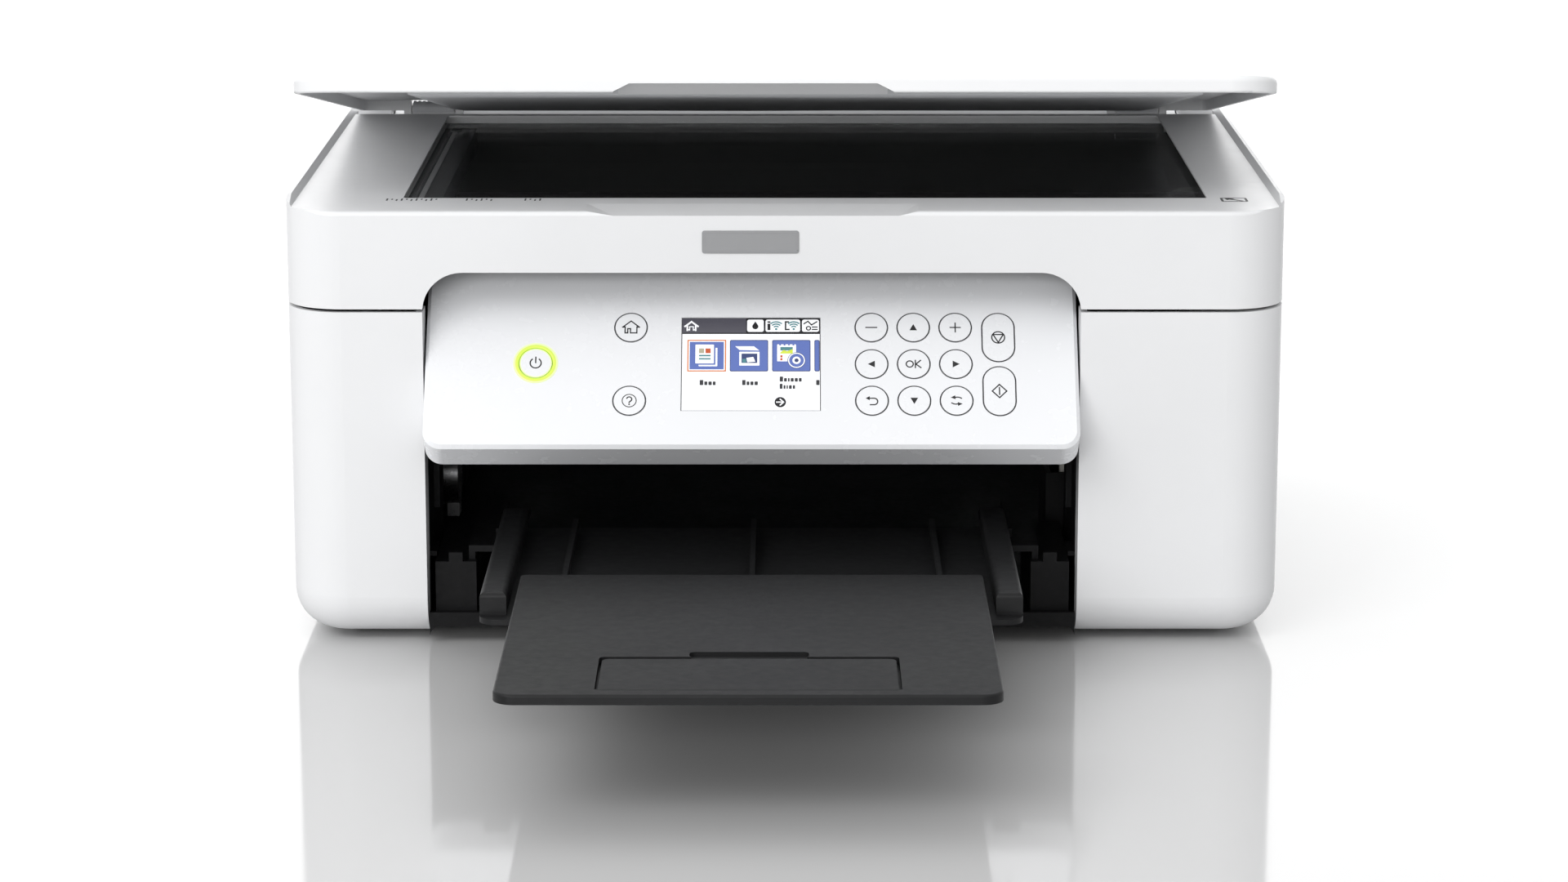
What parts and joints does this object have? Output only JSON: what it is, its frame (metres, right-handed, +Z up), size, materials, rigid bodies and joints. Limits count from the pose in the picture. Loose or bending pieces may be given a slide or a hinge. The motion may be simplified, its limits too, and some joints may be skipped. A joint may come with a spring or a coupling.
{
  "type": "inkjet printer",
  "caption": "Compact white all-in-one inkjet printer with flatbed scanner and lid ajar, tilting control panel with screen, pull-out output tray and rear paper feeder.",
  "frame": {"origin": "bottom centre of the bounding box with the output tray drawn out, on the surface the rubber feet stand on", "axes": "+Y from the front (panel and tray) to the back, +X to the right as seen from the front, +Z up"},
  "size_m": [0.374, 0.528, 0.2156],
  "materials": {
    "belt_rubber": "matt",
    "board_green": "solder mask",
    "bright_steel": "ground",
    "cartridge": "gloss",
    "casing_white": "satin",
    "clear_glass": "polished",
    "foot_rubber": "matt",
    "frame_black": "fine grain",
    "gear_white": "natural",
    "key_white": "satin",
    "mat_white": "matt",
    "motor_metal": "satin",
    "panel_white": "satin",
    "ring_lit": "translucent",
    "roller_rubber": "matt",
    "screen": "gloss",
    "sheet_steel": "zinc plated",
    "tray_charcoal": "fine grain"
  },
  "bodies": {
    "chassis": {"base_tray": "frame_black", "outer_housing": "casing_white", "slot_frame": "frame_black", "main_frame": "sheet_steel", "carriage_rail": "bright_steel", "platen": "frame_black", "carriage_belt": "belt_rubber", "carriage_motor": "motor_metal", "feed_motor": "motor_metal", "main_board": "board_green", "power_supply": "frame_black", "maintenance_station": "frame_black", "feeder_frame": "frame_black", "rubber_feet": "foot_rubber"},
    "scanner": {"scanner_case": "frame_black", "scanner_top_frame": "casing_white", "scanner_glass": "clear_glass", "scanner_motor": "motor_metal"},
    "hinge_posts": {"lid_hinge_posts": "casing_white"},
    "lid": {"lid_cover": "casing_white", "lid_mat": "mat_white"},
    "panel": {"panel_shell": "panel_white", "panel_back": "panel_white", "lcd_module": "screen", "panel_board": "board_green", "power_ring": "ring_lit"},
    "tray": {"output_tray": "tray_charcoal"},
    "extension": {"tray_extension": "tray_charcoal"},
    "stopper": {"tray_stopper": "tray_charcoal"},
    "support": {"paper_support": "casing_white"},
    "guide_left": {"edge_guide_left": "tray_charcoal"},
    "guide_right": {"edge_guide_right": "tray_charcoal"},
    "guard": {"feeder_guard": "casing_white"},
    "rear_cover": {"duplexer_cover": "casing_white"},
    "carriage": {"print_carriage": "frame_black", "print_head": "sheet_steel", "ink_cartridges": "cartridge"},
    "scan_bar": {"scan_carriage": "frame_black"},
    "stay": {"scanner_stay": "frame_black"},
    "pulley": {"motor_pulley": "bright_steel"},
    "feed": {"feed_roller": "roller_rubber"},
    "idler": {"idler_gear": "gear_white"},
    "exit": {"exit_roller": "roller_rubber"},
    "pinion": {"feed_pinion": "gear_white"},
    "pickup": {"pickup_roller": "roller_rubber"},
    "cap": {"cap_sled": "gear_white"},
    "power_key": {"power_button": "key_white"},
    "home_key": {"home_button": "key_white"},
    "help_key": {"help_button": "key_white"},
    "minus_key": {"minus_button": "key_white"},
    "up_key": {"up_button": "key_white"},
    "plus_key": {"plus_button": "key_white"},
    "left_key": {"left_button": "key_white"},
    "ok_key": {"ok_button": "key_white"},
    "right_key": {"right_button": "key_white"},
    "back_key": {"back_button": "key_white"},
    "down_key": {"down_button": "key_white"},
    "options_key": {"options_button": "key_white"},
    "stop_key": {"stop_button": "key_white"},
    "start_key": {"start_button": "key_white"}
  },
  "joints": [
    {"name": "lid_open", "type": "hinge", "parent": "hinge_posts", "child": "lid", "pos_m": [0, 0.223, 0.1672], "axis": [-1, 0, 0], "range_deg": [-9.6, 66]},
    {"name": "panel_tilt", "type": "hinge", "parent": "chassis", "child": "panel", "pos_m": [0, -0.01599, 0.10732], "axis": [-1, 0, 0], "range_deg": [-39, 0]},
    {"name": "tray_slide", "type": "slide", "parent": "chassis", "child": "tray", "axis": [0, -1, 0], "range_m": [-0.107, 0]},
    {"name": "extension_slide", "type": "slide", "parent": "tray", "child": "extension", "axis": [0, -1, 0], "range_m": [-0.123, 0]},
    {"name": "stopper_flip", "type": "hinge", "parent": "extension", "child": "stopper", "pos_m": [0, -0.256, 0.0448], "axis": [1, 0, 0], "range_deg": [0, 105]},
    {"name": "scanner_open", "type": "hinge", "parent": "chassis", "child": "scanner", "pos_m": [0, 0.241, 0.16], "axis": [-1, 0, 0], "range_deg": [0, 28]},
    {"name": "paper_support_slide", "type": "slide", "parent": "chassis", "child": "support", "axis": [0, 0.1736, 0.9848], "range_m": [0, 0.084]},
    {"name": "feeder_guard_open", "type": "hinge", "parent": "chassis", "child": "guard", "pos_m": [0, 0.2396, 0.1647], "axis": [1, 0, 0], "range_deg": [0, 100]},
    {"name": "edge_guide_slide", "type": "slide", "parent": "chassis", "child": "guide_left", "axis": [1, 0, 0], "range_m": [0, 0.06]},
    {"name": "edge_guide_mirror", "type": "slide", "parent": "chassis", "child": "guide_right", "axis": [1, 0, 0], "range_m": [-0.06, 0]},
    {"name": "carriage_slide", "type": "slide", "parent": "chassis", "child": "carriage", "axis": [1, 0, 0], "range_m": [-0.246, 0]},
    {"name": "pulley_spin", "type": "hinge", "parent": "chassis", "child": "pulley", "pos_m": [0.148, 0.129, 0.106], "axis": [0, 1, 0], "continuous": true},
    {"name": "scan_bar_slide", "type": "slide", "parent": "scanner", "child": "scan_bar", "axis": [1, 0, 0], "range_m": [0, 0.292]},
    {"name": "rear_cover_pull", "type": "slide", "parent": "chassis", "child": "rear_cover", "axis": [0, 1, 0], "range_m": [0, 0.06]},
    {"name": "hinge_lift", "type": "slide", "parent": "scanner", "child": "hinge_posts", "axis": [0, 0, 1], "range_m": [0, 0.01]},
    {"name": "feed_spin", "type": "hinge", "parent": "chassis", "child": "feed", "pos_m": [0, 0.116, 0.0545], "axis": [1, 0, 0], "continuous": true},
    {"name": "exit_spin", "type": "hinge", "parent": "chassis", "child": "exit", "pos_m": [0, 0.0564, 0.0545], "axis": [1, 0, 0], "continuous": true},
    {"name": "idler_spin", "type": "hinge", "parent": "chassis", "child": "idler", "pos_m": [0, 0.0844, 0.0545], "axis": [1, 0, 0], "continuous": true},
    {"name": "pinion_spin", "type": "hinge", "parent": "chassis", "child": "pinion", "pos_m": [0, 0.116, 0.0317], "axis": [1, 0, 0], "continuous": true},
    {"name": "pickup_spin", "type": "hinge", "parent": "chassis", "child": "pickup", "pos_m": [0, 0.2185, 0.084], "axis": [1, 0, 0], "continuous": true},
    {"name": "cap_lift", "type": "slide", "parent": "chassis", "child": "cap", "axis": [0, 0, 1], "range_m": [-0.008, 0], "stiffness_N_per_m": 150, "springref_m": 0.003},
    {"name": "stay_swing", "type": "hinge", "parent": "scanner", "child": "stay", "pos_m": [0, 0.084, 0.1215], "axis": [-1, 0, 0], "range_deg": [0, 60]},
    {"name": "power_press", "type": "slide", "parent": "panel", "child": "power_key", "axis": [0, 0.7771, -0.6293], "range_m": [0, 0.0007], "stiffness_N_per_m": 400, "springref_m": -0.0002},
    {"name": "home_press", "type": "slide", "parent": "panel", "child": "home_key", "axis": [0, 0.7771, -0.6293], "range_m": [0, 0.0007], "stiffness_N_per_m": 400, "springref_m": -0.0002},
    {"name": "help_press", "type": "slide", "parent": "panel", "child": "help_key", "axis": [0, 0.7771, -0.6293], "range_m": [0, 0.0007], "stiffness_N_per_m": 400, "springref_m": -0.0002},
    {"name": "minus_press", "type": "slide", "parent": "panel", "child": "minus_key", "axis": [0, 0.7771, -0.6293], "range_m": [0, 0.0007], "stiffness_N_per_m": 400, "springref_m": -0.0002},
    {"name": "up_press", "type": "slide", "parent": "panel", "child": "up_key", "axis": [0, 0.7771, -0.6293], "range_m": [0, 0.0007], "stiffness_N_per_m": 400, "springref_m": -0.0002},
    {"name": "plus_press", "type": "slide", "parent": "panel", "child": "plus_key", "axis": [0, 0.7771, -0.6293], "range_m": [0, 0.0007], "stiffness_N_per_m": 400, "springref_m": -0.0002},
    {"name": "left_press", "type": "slide", "parent": "panel", "child": "left_key", "axis": [0, 0.7771, -0.6293], "range_m": [0, 0.0007], "stiffness_N_per_m": 400, "springref_m": -0.0002},
    {"name": "ok_press", "type": "slide", "parent": "panel", "child": "ok_key", "axis": [0, 0.7771, -0.6293], "range_m": [0, 0.0007], "stiffness_N_per_m": 400, "springref_m": -0.0002},
    {"name": "right_press", "type": "slide", "parent": "panel", "child": "right_key", "axis": [0, 0.7771, -0.6293], "range_m": [0, 0.0007], "stiffness_N_per_m": 400, "springref_m": -0.0002},
    {"name": "back_press", "type": "slide", "parent": "panel", "child": "back_key", "axis": [0, 0.7771, -0.6293], "range_m": [0, 0.0007], "stiffness_N_per_m": 400, "springref_m": -0.0002},
    {"name": "down_press", "type": "slide", "parent": "panel", "child": "down_key", "axis": [0, 0.7771, -0.6293], "range_m": [0, 0.0007], "stiffness_N_per_m": 400, "springref_m": -0.0002},
    {"name": "options_press", "type": "slide", "parent": "panel", "child": "options_key", "axis": [0, 0.7771, -0.6293], "range_m": [0, 0.0007], "stiffness_N_per_m": 400, "springref_m": -0.0002},
    {"name": "stop_press", "type": "slide", "parent": "panel", "child": "stop_key", "axis": [0, 0.7771, -0.6293], "range_m": [0, 0.0007], "stiffness_N_per_m": 400, "springref_m": -0.0002},
    {"name": "start_press", "type": "slide", "parent": "panel", "child": "start_key", "axis": [0, 0.7771, -0.6293], "range_m": [0, 0.0007], "stiffness_N_per_m": 400, "springref_m": -0.0002}
  ],
  "couplings": [
    {"joint": "edge_guide_mirror", "follows": "edge_guide_slide", "ratio": -1},
    {"joint": "pulley_spin", "follows": "carriage_slide", "rad_per_m": 181.82},
    {"joint": "exit_spin", "follows": "feed_spin", "ratio": 1.25},
    {"joint": "idler_spin", "follows": "feed_spin", "ratio": -1.3235},
    {"joint": "pinion_spin", "follows": "feed_spin", "ratio": -3.75},
    {"joint": "stay_swing", "follows": "scanner_open", "ratio": 2.1429}
  ]
}
